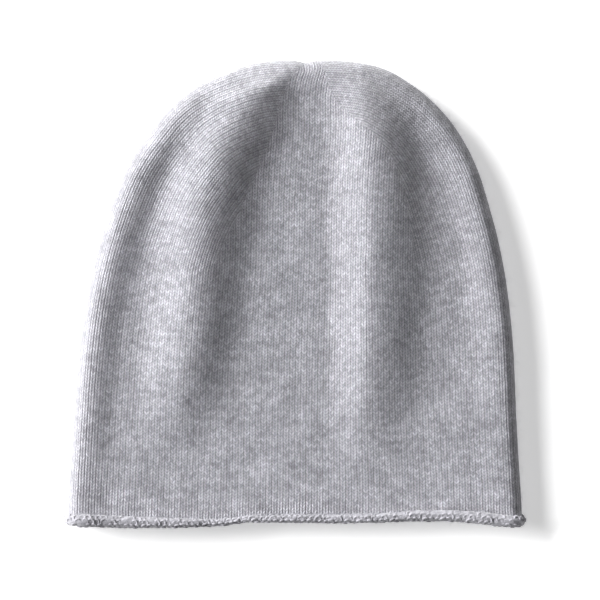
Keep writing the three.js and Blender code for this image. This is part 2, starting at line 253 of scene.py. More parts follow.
def inset_from(side, x, y):
    """(distance to one side of the outline, way along it from the tip to the nearest point)."""
    line = SIDE_LINES[side]
    start, along = line[:-1], np.diff(line, axis=0)
    length = np.linalg.norm(along, axis=1)
    travelled = np.concatenate([[0], np.cumsum(length)[:-1]])
    point = np.stack([np.ravel(x), np.ravel(y)], axis=1)
    inset, way = np.empty(len(point)), np.empty(len(point))
    for first in range(0, len(point), POINTS_AT_ONCE):
        part = slice(first, first + POINTS_AT_ONCE)
        offset = point[part, None, :] - start[None]
        t = np.clip((offset * along).sum(2) / length**2, 0, 1)
        away = np.linalg.norm(offset - t[..., None] * along, axis=2)
        nearest = away.argmin(axis=1)
        row = np.arange(len(nearest))
        inset[part] = away[row, nearest]
        way[part] = travelled[nearest] + t[row, nearest] * length[nearest]
    return inset.reshape(np.shape(x)), way.reshape(np.shape(x))


# %% Heights of the two walls


def rounding(inset, roll):
    return np.sqrt(1 - (1 - np.minimum(1, inset / roll)) ** 2)


def fold_height(fold, x, down):
    crest, left, right, height = (read(fold, "down", c, down) for c in "crest left right height".split())
    away = np.abs(x / HALF_WIDTH - crest) / np.where(x < HALF_WIDTH * crest, left, right)
    return FOLD_HEIGHT * height * np.where(away < 1, 0.5 + 0.5 * np.cos(math.pi * away), 0)


def front_height(x, y, left, right):
    """Height of the front wall's outer face, where left and right are the insets from the sides."""
    down = 1 - y / LENGTH
    inset = np.minimum(left, right)
    roll = mix(CROWN_ROLL, SIDE_ROLL, smooth(down / CROWN_SHARE))
    height = SIDE_HEIGHT * (1 + rounding(inset, roll))
    for fold in (LEFT_FOLD, RIGHT_FOLD, RIGHT_HOLLOW):
        height = height + fold_height(fold, x, down) * smooth(inset / (FOLD_FADE_SHARE * roll))
    for side, from_side in (("left", left), ("right", right)):
        swell = RIM_HEIGHT * read(RIMS, "down", side, down)
        off_crest = np.abs(from_side - RIM_INSET) / RIM_REACH
        height = height + swell * (1 - smooth(off_crest)) * rounding(inset, roll)
    return height


MOUTH_BACK = ROLL_THICK * (BACK_RISE_SHARE + BACK_THICK_SHARE / 2) + ROLL_GAP


def back_height(x, y, left, right):
    """Height of the back wall's outer face, which climbs onto the roll near the mouth."""
    down = 1 - y / LENGTH
    flat = rounding(np.minimum(left, right), mix(CROWN_ROLL, BACK_ROLL, smooth(down / CROWN_SHARE)))
    climb = 1 - smooth((y - MOUTH_BACK) / HEM_RAMP)
    return SIDE_HEIGHT * (1 - flat) + flat * climb * (ROLL_THICK * BACK_THICK_SHARE + ROLL_CLEAR - WALL)


def roll_at(x, front_share):
    """(height of the roll's middle line, its thickness) at a place round the mouth."""
    across = x / HALF_WIDTH
    rise = mix(BACK_RISE_SHARE, read(FRONT_ROLL, "across", "rise", across), front_share)
    thick = mix(BACK_THICK_SHARE, read(FRONT_ROLL, "across", "thick", across), front_share)
    return ROLL_THICK * rise, ROLL_THICK * thick


test_spot = (np.array([0.0]), np.array([LENGTH / 2]))
print("front wall at the middle:", front_height(*test_spot, np.array([0.1]), np.array([0.1])), "m")

# %% [markdown]
# The body is one layer of knit, so it is a thin shell with an outer and an inner face. It could
# start as a plane with a Solidify modifier, but the cap closes on itself at the tip and at both
# sides. So it is built here as rings of points from the tip to the mouth: each ring runs from
# the left side over the front wall to the right side and back under it. The rings lie close
# together at the tip and at the hem, where the form turns fast.

# %% Rings of the outer face
FRONT_STEPS = 168
BACK_STEPS = 52
ROUND_STEPS = 9
CROWN_RINGS, BODY_RINGS, HEM_RINGS = 52, 74, 20
CROWN_END, HEM_START = 0.42, 0.88
MOUTH_LEVEL = 1 - MOUTH_BACK / LENGTH
ROUND_SHARE = 0.3  # most of half a ring's width that one rounded side may take


def places_across(left, right, steps, roll):
    rounded = min(roll, ROUND_SHARE * (right - left) / 2)
    turn = 1 - np.cos(math.pi / 2 * np.arange(ROUND_STEPS) / ROUND_STEPS)
    inner = np.linspace(left + rounded, right - rounded, steps + 1)
    return np.concatenate([left + rounded * turn, inner, (right - rounded * turn)[::-1]])


def notch(x, y):
    across = np.exp(-(((x - side_at("left", 0)) / NOTCH_HALF_WIDTH) ** 2))
    return NOTCH_DEPTH * across * (1 - smooth((LENGTH - y) / NOTCH_REACH))


levels = np.concatenate([
    CROWN_END * (np.arange(1, CROWN_RINGS + 1) / CROWN_RINGS) ** 2,
    np.linspace(CROWN_END, HEM_START, BODY_RINGS + 1)[1:],
    np.linspace(HEM_START, MOUTH_LEVEL, HEM_RINGS + 1)[1:],
])
front_count = FRONT_STEPS + 2 * ROUND_STEPS + 1


def flat_ring(down):
    """X of one ring's points, before heights: over the front and back along the back wall."""
    left, right = float(side_at("left", down)), float(side_at("right", down))
    front = places_across(left, right, FRONT_STEPS, SIDE_ROLL)
    back = places_across(left, right, BACK_STEPS, BACK_ROLL)[1:-1][::-1]
    return np.concatenate([front, back])


def rings_at(x, y):
    """Outer face over whole arrays of rings, and what the stitches need to know about it."""
    left, left_way = inset_from("left", x, y)
    right, right_way = inset_from("right", x, y)
    on_front = np.arange(x.shape[1]) < front_count
    z = np.where(on_front, front_height(x, y, left, right), back_height(x, y, left, right))
    z[:, [0, front_count - 1]] = SIDE_HEIGHT
    points = np.stack([x, y - notch(x, y), z], axis=2)
    nearer_left = left < right
    return points, np.where(nearer_left, left, right), np.where(nearer_left, left_way, right_way)


def round_trip(values):
    """Differences between each ring point's two neighbours."""
    return np.roll(values, -1, axis=-2) - np.roll(values, 1, axis=-2)


across_x = np.array([flat_ring(down) for down in levels])
flat_y = LENGTH * (1 - levels)[:, None] + np.zeros_like(across_x)
mouth_ring = rings_at(across_x[-1:], flat_y[-1:])[0][0]
along = round_trip(mouth_ring)
front_share = 0.5 + 0.5 * along[:, 0] / np.hypot(along[:, 0], along[:, 2])
middle, thick = roll_at(mouth_ring[:, 0], front_share)
hem_shift = middle + thick / 2 + ROLL_GAP - MOUTH_BACK
near_hem = smooth((levels - CROWN_END) / (MOUTH_LEVEL - CROWN_END)) ** HEM_WAVE_POWER
ring_y = flat_y + near_hem[:, None] * hem_shift[None]
outer, inset, outline_way = rings_at(across_x, ring_y)
print("outer face:", outer.shape[0], "rings of", outer.shape[1], "points")

# %% The inner face and the whole shell
tip = np.array([float(side_at("left", 0)), LENGTH, SIDE_HEIGHT])
tip[1] -= float(notch(tip[0], tip[1]))


def outward_directions(rings, pole):
    above = np.concatenate([np.broadcast_to(pole, rings[:1].shape), rings[:-1]])
    below = np.concatenate([rings[1:], rings[-1:]])
    outward = -np.cross(above - below, round_trip(rings))
    outward[-1, :, 1] = 0
    return outward / np.linalg.norm(outward, axis=2, keepdims=True)


outward = outward_directions(outer, tip)
inner = outer - WALL * outward
shift = np.array([
    (body_low[0] + body_high[0] - outer[..., 0].min() - outer[..., 0].max()) / 2,
    body_high[1] - outer[..., 1].max(),
    body_low[2] - outer[..., 2].min(),
])
print("from the pattern's frame to the cap's:", shift.round(5))


def grid_faces(first, ring_count, ring_size, inward=False):
    """Quads between rings, whose points are numbered from first on."""
    k, i = np.meshgrid(np.arange(ring_count - 1), np.arange(ring_size), indexing="ij")
    j = (i + 1) % ring_size
    here, below = first + k * ring_size, first + (k + 1) * ring_size
    quads = np.stack([here + i, below + i, below + j, here + j], axis=-1).reshape(-1, 4)
    return quads[:, ::-1] if inward else quads


def pole_faces(pole, first, ring_size, inward=False):
    i = np.arange(ring_size)
    fan = np.stack([np.full(ring_size, pole), first + i, first + (i + 1) % ring_size], axis=1)
    return fan[:, ::-1] if inward else fan


def add_mesh(name, points, faces):
    """A mesh object at the origin. faces is a list of arrays of quads or triangles."""
    mesh = bpy.data.meshes.new(name)
    mesh.from_pydata(np.asarray(points).tolist(), [], [f for part in faces for f in part.tolist()])
    mesh.update()
    mesh.shade_smooth()
    made = bpy.data.objects.new(name, mesh)
    bpy.context.collection.objects.link(made)
    return made


ring_count, ring_size = outer.shape[:2]
half = 1 + ring_count * ring_size
last_outer, last_inner = half - ring_size, 2 * half - ring_size
i = np.arange(ring_size)
j = (i + 1) % ring_size
mouth_edge = np.stack([last_outer + i, last_inner + i, last_inner + j, last_outer + j], axis=1)
shell_points = np.concatenate([
    tip[None], outer.reshape(-1, 3), (tip - [0, WALL, 0])[None], inner.reshape(-1, 3)
]) + shift
knit_body = add_mesh("cap_shell", shell_points, [
    pole_faces(0, 1, ring_size),
    grid_faces(1, ring_count, ring_size),
    pole_faces(half, half + 1, ring_size, inward=True),
    grid_faces(half + 1, ring_count, ring_size, inward=True),
    mouth_edge,
])
print("cap_shell:", sum(len(p.vertices) - 2 for p in knit_body.data.polygons), "triangles")

# %% [markdown]
# The knit is stockinette: columns of V-shaped stitches, the wales, run from the hem to the tip.
# All 25,000 stitches could be modelled, but at this size a relief in the material shows the
# same, if it knows where every stitch lies. So the shell carries the stitch count as
# attributes: across in wales, and along in courses. In the crown the wales keep their width
# and end in lines of decreases. There the cap has a middle gore, whose wales run straight, and
# side gores, whose wales run along the outline, so each point has both counts and its
# distance from the line of decreases between them.

# %% Stitch counts on the shell
WALES = 41.5  # from the middle of a wall to its side
COURSE = 0.00153
GORES_START = 0.45  # share of LENGTH from the tip where the decreases begin
GORES_FULL = 0.3
GORE_LINES = table(
    "down left right",
    (0, 0.16, 0.17),
    (0.08, 0.17, 0.22),
    (0.16, 0.19, 0.42),
    (0.24, 0.23, 0.52),
    (0.3, 0.27, 0.54),
    (0.45, 0.4, 0.54),
    (0.5, 0.44, 0.54),
)


def half_arcs(rings, count):
    """Distance along each ring from the middle of one wall, and half that wall's width."""
    steps = np.linalg.norm(np.diff(rings[:, :count], axis=1), axis=2)
    way = np.concatenate([np.zeros((len(rings), 1)), np.cumsum(steps, axis=1)], axis=1)
    half_way = way[:, -1:] / 2
    return way - half_way, half_way


def stitch_counts(rings, downs):
    """Wales and courses of the middle gore and of the side gores, and the border between."""
    front, front_half = half_arcs(rings, front_count)
    back_rings = np.concatenate([rings[:, front_count - 1:], rings[:, :1]], axis=1)
    back, back_half = half_arcs(back_rings, back_rings.shape[1])
    away = np.concatenate([front, -back[:, 1:-1]], axis=1)
    half_way = np.concatenate([front_half + 0 * front, back_half + 0 * back[:, 1:-1]], axis=1)
    start = np.argmin(np.abs(downs - GORES_START))
    body = downs[:, None] > GORES_START
    pitch = np.where(body, half_way, half_way[start]) / WALES
    middle_wales = away / pitch
    left, right = side_at("left", downs)[:, None], side_at("right", downs)[:, None]
    to_side = np.minimum(rings[..., 0] - left, right - rings[..., 0])
    in_gores = smooth((GORES_START - downs[:, None]) / (GORES_START - GORES_FULL))
    from_side = half_way - np.abs(away) + in_gores * (inset - to_side)
    side_wales = np.sign(away) * (WALES - from_side / pitch)
    end_way = outline_way[-1:].max()
    middle_courses = ring_y / COURSE
    side_courses = mix(ring_y, end_way - outline_way, in_gores) / COURSE
    left_share, right_share = (read(GORE_LINES, "down", side, downs)[:, None] for side in ("left", "right"))
    border = (np.abs(away) - np.where(away < 0, left_share, right_share) * half_way) / pitch
    border = np.where(body, -WALES * smooth((downs[:, None] - GORES_START) / 0.03), border)
    return [middle_wales, middle_courses, border, side_wales, side_courses]


def per_vertex(grid):
    """Values of the outer rings, given to all points of the shell."""
    flat = np.concatenate([grid[:1].mean(axis=1), grid.ravel()])
    return np.concatenate([flat, flat])


middle_wales, middle_courses, border, side_wales, side_courses = stitch_counts(outer, levels)
for name, columns in {
    "stitch_middle": (middle_wales, middle_courses, border),
    "stitch_side": (side_wales, side_courses, 0 * border),
}.items():
    attribute = knit_body.data.attributes.new(name, "FLOAT_VECTOR", "POINT")
    values = np.stack([per_vertex(column) for column in columns], axis=1)
    attribute.data.foreach_set("vector", values.ravel())
print("wales across one wall:", 2 * WALES, "courses:", round(float(middle_courses.max())))

# %% [markdown]
# A material here is a tree of small nodes, and the knit needs long sums of them. They could be
# placed by hand in the shader editor. In a script a helper that adds a node, feeds it and
# returns it keeps each sum readable.

# %% A helper for node trees


class Tree:
    """Adds nodes to a tree. A value is a socket to link, a constant, or None to leave as it is."""

    def __init__(self, tree):
        self.tree = tree

    def node(self, kind, *values, named=None, **settings):
        made = self.tree.nodes.new(kind)
        for name, value in settings.items():
            setattr(made, name, value)
        pairs = [*zip(made.inputs, values), *((made.inputs[n], v) for n, v in (named or {}).items())]
        for socket, value in pairs:
            if isinstance(value, bpy.types.NodeSocket):
                self.tree.links.new(value, socket)
            elif value is not None:
                socket.default_value = value
        return made

    def maths(self, operation, *values):
        return self.node("ShaderNodeMath", *values, operation=operation).outputs[0]

    def blend(self, low, high, share):
        return self.maths("MULTIPLY_ADD", self.maths("SUBTRACT", high, low), share, low)

    def noise(self, vector, scale, detail=2.0, rough=0.5, dimensions="3D"):
        made = self.node("ShaderNodeTexNoise", noise_dimensions=dimensions)
        for name, value in (("Vector", vector), ("Scale", scale), ("Detail", detail), ("Roughness", rough)):
            socket = made.inputs[name]
            if isinstance(value, bpy.types.NodeSocket):
                self.tree.links.new(value, socket)
            else:
                socket.default_value = value
        return made.outputs[0]

    def around_one(self, value, reach):
        """A 0 to 1 value turned into a factor from 1 - reach to 1 + reach."""
        return self.maths("MULTIPLY_ADD", value, 2 * reach, 1 - reach)


def new_group(name, inputs, outputs, kind="ShaderNodeTree"):
    """A node group. inputs and outputs map names to socket types, inputs also to a default."""
    tree = bpy.data.node_groups.new(name, kind)
    for label, (socket_type, default) in inputs.items():
        socket = tree.interface.new_socket(label, in_out="INPUT", socket_type=socket_type)
        if default is not None:
            socket.default_value = default
    for label, socket_type in outputs.items():
        tree.interface.new_socket(label, in_out="OUTPUT", socket_type=socket_type)
    made = Tree(tree)
    return made, made.node("NodeGroupInput").outputs, made.node("NodeGroupOutput").inputs


def place(tree, group, **values):
    made = tree.node("ShaderNodeGroup", node_tree=group.tree)
    for name, value in values.items():
        socket = made.inputs[name.replace("_", " ")]
        if isinstance(value, bpy.types.NodeSocket):
            tree.tree.links.new(value, socket)
        else:
            socket.default_value = value
    return made.outputs


print("helpers ready")

# %% [markdown]
# On real stockinette each stitch shows as a V: two legs that lean together at its foot. The
# relief group works this out from the stitch counts alone. The fraction of the wale count
# tells how far a point is from the middle of its wale, and the course count, pushed up towards
# the edge of the wale, tells how far along the leg it is. A voronoi or wave texture would be
# quicker to set up, but its cells don't line up in columns. Hand-fed yarn is never even, so
# the counts wander a little and every leg has a tone of its own.

# %% Stitch relief
V = "NodeSocketVector"
F = "NodeSocketFloat"
C = "NodeSocketColor"
DRIFT_SCALE = 0.23  # cells of the noise that lets the counts wander, in a stitch
GROOVE_HEIGHT = 0.5  # of a wale's middle, as a share of the height of its legs
LEG_FOOT = 0.25  # height that is left where one leg ends and the next one starts
LEG_LOWEST, LEG_SPREAD = 0.65, 0.5  # the flattest leg's height, and how much more the highest has
# The gaps between the legs are painted darker in the colour as shade; this power keeps that painted shade
# narrow.
GAP_POWER = 1.6  # keeps the dark of the gaps narrow
LINE_FADE = 0.7  # how fast a line of decreases fades out, in a wale

relief, given, put = new_group(
    "stitch relief",
    {"Middle": (V, None), "Side": (V, None), "Lean": (F, 0.9), "Wander": (F, 0.2)},
    {"Height": F, "Gap": F, "Tone": F, "Line": F, "Wales": F, "Courses": F},
)
middle_counts = relief.node("ShaderNodeSeparateXYZ", given["Middle"]).outputs
side_counts = relief.node("ShaderNodeSeparateXYZ", given["Side"]).outputs
on_side = relief.maths("GREATER_THAN", middle_counts["Z"], 0.0)
even_wales = relief.blend(middle_counts["X"], side_counts["X"], on_side)
even_courses = relief.blend(middle_counts["Y"], side_counts["Y"], on_side)
count_place = relief.node("ShaderNodeCombineXYZ", even_wales, even_courses, 0.0).outputs[0]
drift = relief.maths("SUBTRACT", relief.noise(count_place, DRIFT_SCALE, 2.0, 0.6), 0.5)
wales = relief.maths("MULTIPLY_ADD", drift, given["Wander"], even_wales)
courses = relief.maths("MULTIPLY_ADD", drift, given["Wander"], even_courses)
off_middle = relief.maths(
    "MULTIPLY", relief.maths("ABSOLUTE", relief.maths("SUBTRACT", relief.maths("FRACT", wales), 0.5)), 2.0
)
leg_way = relief.maths("MULTIPLY_ADD", off_middle, relief.maths("MULTIPLY", given["Lean"], -1.0), courses)
leg_part = relief.maths("FRACT", leg_way)


def hump(tree, share, power):
    """0 at both ends of the share and 1 between, flatter on top as the power grows."""
    from_middle = tree.maths("ABSOLUTE", tree.maths("MULTIPLY_ADD", share, 2.0, -1.0))
    return tree.maths("SUBTRACT", 1.0, tree.maths("POWER", from_middle, power))


across_leg = relief.maths("MAXIMUM", hump(relief, off_middle, 2.0), relief.maths(
    "MULTIPLY", relief.maths("SUBTRACT", 1.0, off_middle), GROOVE_HEIGHT))
along_leg = hump(relief, leg_part, 2.4)
leg_number = relief.node(
    "ShaderNodeCombineXYZ",
    relief.maths("FLOOR", relief.maths("MULTIPLY", wales, 2.0)), relief.maths("FLOOR", leg_way), 0.0,
).outputs[0]
tone = relief.node("ShaderNodeTexWhiteNoise", leg_number, noise_dimensions="3D").outputs[0]
leg = relief.maths("MULTIPLY", across_leg, relief.maths("MULTIPLY_ADD", along_leg, 1 - LEG_FOOT, LEG_FOOT))
uneven = relief.maths("MULTIPLY", leg, relief.maths("MULTIPLY_ADD", tone, LEG_SPREAD, LEG_LOWEST))
line = relief.maths("SUBTRACT", 1.0, relief.maths("MINIMUM", 1.0, relief.maths(
    "MULTIPLY", relief.maths("ABSOLUTE", middle_counts["Z"]), LINE_FADE)))
# Gap tells how far a point lies between two legs; the heather group paints it as shade.
for name, socket in {
    "Height": uneven,
    "Gap": relief.maths("POWER", relief.maths("SUBTRACT", 1.0, leg), GAP_POWER),
    "Tone": tone,
    "Line": line,
    "Wales": wales,
    "Courses": courses,
}.items():
    relief.tree.links.new(socket, put[name])
print("stitch relief:", len(relief.tree.nodes), "nodes")

# %% [markdown]
# The yarn is a heather grey: pale and dark fibres are carded together, so the colour wanders
# in soft dashes along the courses, and single fibres catch the light. This heather group is
# shared by the body, the rolled hem and the loose fibres. It starts from the point's place and
# its stitch, and puts out a colour, which it also darkens in the gaps between the stitches' legs
# as painted shade.

# %% Heather colour
DASHES_A_WALE, DASHES_A_COURSE = 0.4, 0.42  # a dash is two or three stitches long
PATCH_SCALE, FIBRE_SCALE = 95.0, 2600.0  # cells in a metre
TONE_REACH, DASH_REACH, PATCH_REACH, FIBRE_REACH = 0.22, 0.45, 0.35, 0.6
heather, given, put = new_group(
    "heather yarn",
    {"Base": (C, (0.55, 0.545, 0.59, 1)), "Place": (V, None), "Wales": (F, 0.0), "Courses": (F, 0.0),
     "Tone": (F, 0.5), "Gap": (F, 0.0), "Depth": (F, 0.68)},
    {"Color": C, "Fibre": F},
)
dash_place = heather.node(
    "ShaderNodeCombineXYZ",
    heather.maths("MULTIPLY", given["Wales"], DASHES_A_WALE),
    heather.maths("MULTIPLY", given["Courses"], DASHES_A_COURSE),
    0.0,
).outputs[0]
dashes = heather.noise(dash_place, 1.0, 3.0, 0.6)
patches = heather.noise(given["Place"], PATCH_SCALE, 2.0)
fibre = heather.noise(given["Place"], FIBRE_SCALE, 2.0, 0.6)
factor = heather.around_one(given["Tone"], TONE_REACH)
for value, reach in ((dashes, DASH_REACH), (patches, PATCH_REACH), (fibre, FIBRE_REACH)):
    factor = heather.maths("MULTIPLY", factor, heather.around_one(value, reach))
# Painted shade: the colour is darkened in the gaps between the stitches' legs, where the yarns shadow each
# other.
shade = heather.maths("SUBTRACT", 1.0, heather.maths("MULTIPLY", given["Gap"], given["Depth"]))
factor = heather.maths("MULTIPLY", factor, shade)
coloured = heather.node("ShaderNodeVectorMath", given["Base"], operation="SCALE")
heather.tree.links.new(factor, coloured.inputs["Scale"])
heather.tree.links.new(coloured.outputs[0], put["Color"])
heather.tree.links.new(fibre, put["Fibre"])
print("heather yarn:", len(heather.tree.nodes), "nodes")

# %% The knit's material


def new_material(name):
    material = bpy.data.materials.new(name)
    material.use_nodes = True
    tree = Tree(material.node_tree)
    return material, tree, material.node_tree.nodes["Principled BSDF"]


def soft_surface(shader, roughness, sheen):
    shader.inputs["Roughness"].default_value = roughness
    shader.inputs["Specular IOR Level"].default_value = 0.15
    shader.inputs["Sheen Weight"].default_value = sheen
    shader.inputs["Sheen Roughness"].default_value = 0.5


KNIT_COLOUR = (0.45, 0.444, 0.487, 1)
KNIT_BUMP = 0.0005  # how far a stitch stands up
FUZZ_SHARE, LINE_SHARE = 0.5, -0.1  # heights of the fuzz and of a line of decreases against it
knit_material, tree, shader = new_material("heather_knit")
soft_surface(shader, roughness=0.9, sheen=0.6)
stitches = [tree.node("ShaderNodeAttribute", attribute_name=name).outputs["Vector"]
            for name in ("stitch_middle", "stitch_side")]
stitch = place(tree, relief, Middle=stitches[0], Side=stitches[1])
position = tree.node("ShaderNodeTexCoord").outputs["Object"]
yarn = place(tree, heather, Base=KNIT_COLOUR, Place=position,
             **{name: stitch[name] for name in ("Wales", "Courses", "Tone", "Gap")})
fuzz_bump = tree.maths("MULTIPLY_ADD", yarn["Fibre"], FUZZ_SHARE, stitch["Height"])
lined = tree.maths("MULTIPLY_ADD", stitch["Line"], LINE_SHARE, fuzz_bump)
bump = tree.node("ShaderNodeBump")
bump.inputs["Strength"].default_value = 1.0
bump.inputs["Distance"].default_value = KNIT_BUMP
tree.tree.links.new(lined, bump.inputs["Height"])
tree.tree.links.new(bump.outputs[0], shader.inputs["Normal"])
tree.tree.links.new(yarn["Color"], shader.inputs["Base Color"])
knit_body.data.materials.append(knit_material)
print("knit material ready")

# %% [markdown]
# Stockinette curls outwards at its raw edge, so the mouth ends in a soft roll that shows the
# purl side of the knit: small arched loops. Under them the roll is a plain tube, which could
# be a curve with a round bevel. A curve has one thickness along each of its points and no
# unevenness round it, so the tube is built from rings here. Its thickness and height follow
# the table of the roll, down to the place where it is twisted thin.

# %% Middle line of the roll
ROLL_RINGS = 700
ROLL_SIDES = 18


def ring_normals(ring):
    """Outward directions in the plane across the cap, of a ring of points."""
    along = np.roll(ring, -1, axis=0) - np.roll(ring, 1, axis=0)
    normal = np.stack([-along[:, 2], 0 * along[:, 0], along[:, 0]], axis=1)
    return normal / np.linalg.norm(normal, axis=1, keepdims=True)


def evenly(ring, count):
    """The closed line through a ring's points, as count points at even distances."""
    closed = np.vstack([ring, ring[:1]])
    way = np.concatenate([[0], np.cumsum(np.linalg.norm(np.diff(closed, axis=0), axis=1))])
    places = np.arange(count) * way[-1] / count
    return np.stack([np.interp(places, way, closed[:, k]) for k in range(3)], axis=1), way[-1]


def softened(values, rounds):
    for _ in range(rounds):
        values = (np.roll(values, 1, axis=0) + 2 * values + np.roll(values, -1, axis=0)) / 4
    return values


wall_end = outer[-1] * [1, 0, 1]
wall_middle, mouth_round = evenly(wall_end - WALL / 2 * ring_normals(wall_end), ROLL_RINGS)
wall_middle = softened(wall_middle, 4)
roll_out = ring_normals(wall_middle)
roll_middle, roll_thick = roll_at(wall_middle[:, 0], 0.5 + 0.5 * roll_out[:, 2])
centres = wall_middle + (np.abs(roll_out[:, 2]) * (roll_thick - WALL) / 2)[:, None] * roll_out
centres[:, 1] = roll_middle
print("the roll is", round(mouth_round * 1000), "mm round,",
      (roll_thick.min() * 1000).round(1), "to", (roll_thick.max() * 1000).round(1), "mm thick")

# %% The roll's tube
LUMP_HEIGHT = 0.000132  # typical height of the uneven places
ROLL_BARE = 0.00014  # the tube stays this far inside the full thickness of the roll
LOOP_DEPTH = 0.0006  # and the middle line of the loops' yarn this far


def tube_point(centre, out, thick, turn):
    """Points on the roll: turn 0 faces outwards, a quarter turn faces the wall."""
    side = np.stack([np.cos(turn)[:, None] * out[:, k] for k in range(3)], axis=-1)
    side[..., 1] += np.sin(turn)[:, None]
    return centre[None] + thick[None, :, None] / 2 * side, side


turns = np.arange(ROLL_SIDES) * 2 * math.pi / ROLL_SIDES
random = np.random.default_rng(7)
lumps = softened(softened(random.normal(size=(ROLL_RINGS, ROLL_SIDES)), 3).T, 1).T
roll_points, roll_sides = tube_point(centres, roll_out, roll_thick - 2 * ROLL_BARE, turns)
lump_heights = lumps * LUMP_HEIGHT / lumps.std()
roll_points = (roll_points + roll_sides * lump_heights.T[..., None]).transpose(1, 0, 2)
k, i = np.meshgrid(np.arange(ROLL_RINGS), np.arange(ROLL_SIDES), indexing="ij")
next_k, j = (k + 1) % ROLL_RINGS, (i + 1) % ROLL_SIDES
roll_quads = np.stack(
    [k * ROLL_SIDES + i, next_k * ROLL_SIDES + i, next_k * ROLL_SIDES + j, k * ROLL_SIDES + j], axis=-1
).reshape(-1, 4)
hem_roll = add_mesh("hem_roll", roll_points.reshape(-1, 3) + shift, [roll_quads])
print("hem_roll:", 2 * len(roll_quads), "triangles")

# %% [markdown]
# The loops on the roll repeat hundreds of times on a curved surface, which is what Geometry
# Nodes are for. A guide mesh holds one point for each loop with the directions that it needs,
# in rows that are staggered like bricks. The tree sweeps a small arch of yarn, puts one on
# every point, turns it to lie on the roll, and varies its turn and size a little.

# %% Guide points for the loops
LOOP_PITCH = 0.0028
LOOP_ROWS = 7
LOOP_SPREAD = 285  # degrees of the roll that show loops: the rest faces the wall
LOOP_JITTER = 0.25  # how far a loop strays along the roll, in rings of the roll


def add_points(name, points, **directions):
    """A mesh of loose points, each with named direction attributes."""
    mesh = bpy.data.meshes.new(name)
    mesh.from_pydata(points.tolist(), [], [])
    for label, values in directions.items():
        mesh.attributes.new(label, "FLOAT_VECTOR", "POINT").data.foreach_set("vector", values.ravel())
    made = bpy.data.objects.new(name, mesh)
    bpy.context.collection.objects.link(made)
    return made


loop_count = round(mouth_round / LOOP_PITCH)
guide_points, guide_out, guide_along = [], [], []
for row in range(LOOP_ROWS):
    turn = math.radians(LOOP_SPREAD * (row / (LOOP_ROWS - 1) - 0.5))
    staggered = np.arange(loop_count) + 0.5 * (row % 2)
    where = staggered * ROLL_RINGS / loop_count + random.normal(0, LOOP_JITTER, loop_count)
    spot = np.round(where).astype(int) % ROLL_RINGS
    yarn_thick = roll_thick[spot] - 2 * LOOP_DEPTH
    points, sides = tube_point(centres[spot], roll_out[spot], yarn_thick, np.array([turn]))
    guide_points.append(points[0])
    guide_out.append(sides[0])
    guide_along.append(centres[(spot + 2) % ROLL_RINGS] - centres[spot - 2])
loop_guide = add_points(
    "loop_guide", np.vstack(guide_points) + shift, out=np.vstack(guide_out), along=np.vstack(guide_along)
)
print("loops:", LOOP_ROWS * loop_count)

# %% Geometry Nodes for the loops
G = "NodeSocketGeometry"
M = "NodeSocketMaterial"
I = "NodeSocketInt"
LOOP_POINTS = 7  # along the arch of one loop
LOOP_START, LOOP_SWEEP = -30, 240  # degrees of a circle that the arch follows
LOOP_TIPPED = (-0.15, 0.25)  # in radians, as the twist
LOOP_TWIST = 0.6
LOOP_SCALES = (0.8, 1.2)


def vector(tree, x, y, z):
    return tree.node("ShaderNodeCombineXYZ", x, y, z).outputs[0]


def random_number(tree, low, high, seed):
    made = tree.node("FunctionNodeRandomValue", None, None, low, high, data_type="FLOAT")
    made.inputs["Seed"].default_value = seed
    return made.outputs[1]


def named(tree, label):
    made = tree.node("GeometryNodeInputNamedAttribute", label, data_type="FLOAT_VECTOR")
    return made.outputs["Attribute"]


def strand_mesh(tree, curve, radius, sides):
    """A curve with the thickness of a yarn, and closed ends."""
    ring = tree.node("GeometryNodeCurvePrimitiveCircle", named={
        "Resolution": sides, "Radius": radius}).outputs[0]
    return tree.node("GeometryNodeCurveToMesh", curve, ring, named={"Fill Caps": True}).outputs[0]


def scatter(tree, points, strand, rotation, scale, material, put):
    """Instances made real, smooth and dressed, because the export drops instances."""
    placed = tree.node("GeometryNodeInstanceOnPoints", points, named={
        "Instance": strand, "Rotation": rotation, "Scale": scale}).outputs[0]
    real = tree.node("GeometryNodeRealizeInstances", placed).outputs[0]
    smoothed = tree.node("GeometryNodeSetShadeSmooth", real).outputs[0]
    dressed = tree.node("GeometryNodeSetMaterial", smoothed, named={"Material": material}).outputs[0]
    tree.tree.links.new(dressed, put["Geometry"])


def turned(tree, rotation, x, y, z):
    """A rotation with turns about its own axes put before it."""
    by = tree.node("FunctionNodeEulerToRotation", vector(tree, x, y, z)).outputs[0]
    return tree.node("FunctionNodeRotateRotation", rotation, by, rotation_space="LOCAL").outputs[0]


loops, given, put = new_group(
    "yarn loops",
    {"Geometry": (G, None), "Material": (M, None), "Width": (F, 0.0026), "Height": (F, 0.0021),
     "Yarn Radius": (F, 0.00055), "Rise": (F, 0.1), "Seed": (I, 3)},
    {"Geometry": G}, kind="GeometryNodeTree",
)
arc = loops.node("GeometryNodeCurveArc", mode="RADIUS", named={
    "Resolution": LOOP_POINTS,
    "Radius": 1.0,
    "Start Angle": math.radians(LOOP_START),
    "Sweep Angle": math.radians(LOOP_SWEEP),
}).outputs[0]
half_width, half_height = (loops.maths("MULTIPLY", given[name], 0.5) for name in ("Width", "Height"))
half_size = vector(loops, half_width, half_height, 1.0)
sized = loops.node("GeometryNodeTransform", arc, named={"Scale": half_size}).outputs[0]
lifted = loops.node("GeometryNodeTransform", sized, named={
    "Rotation": vector(loops, given["Rise"], 0.0, 0.0)}).outputs[0]
lying = loops.node(
    "FunctionNodeAxesToRotation", named(loops, "out"), named(loops, "along"),
    primary_axis="Z", secondary_axis="X",
).outputs[0]
tipped = random_number(loops, *LOOP_TIPPED, 1)
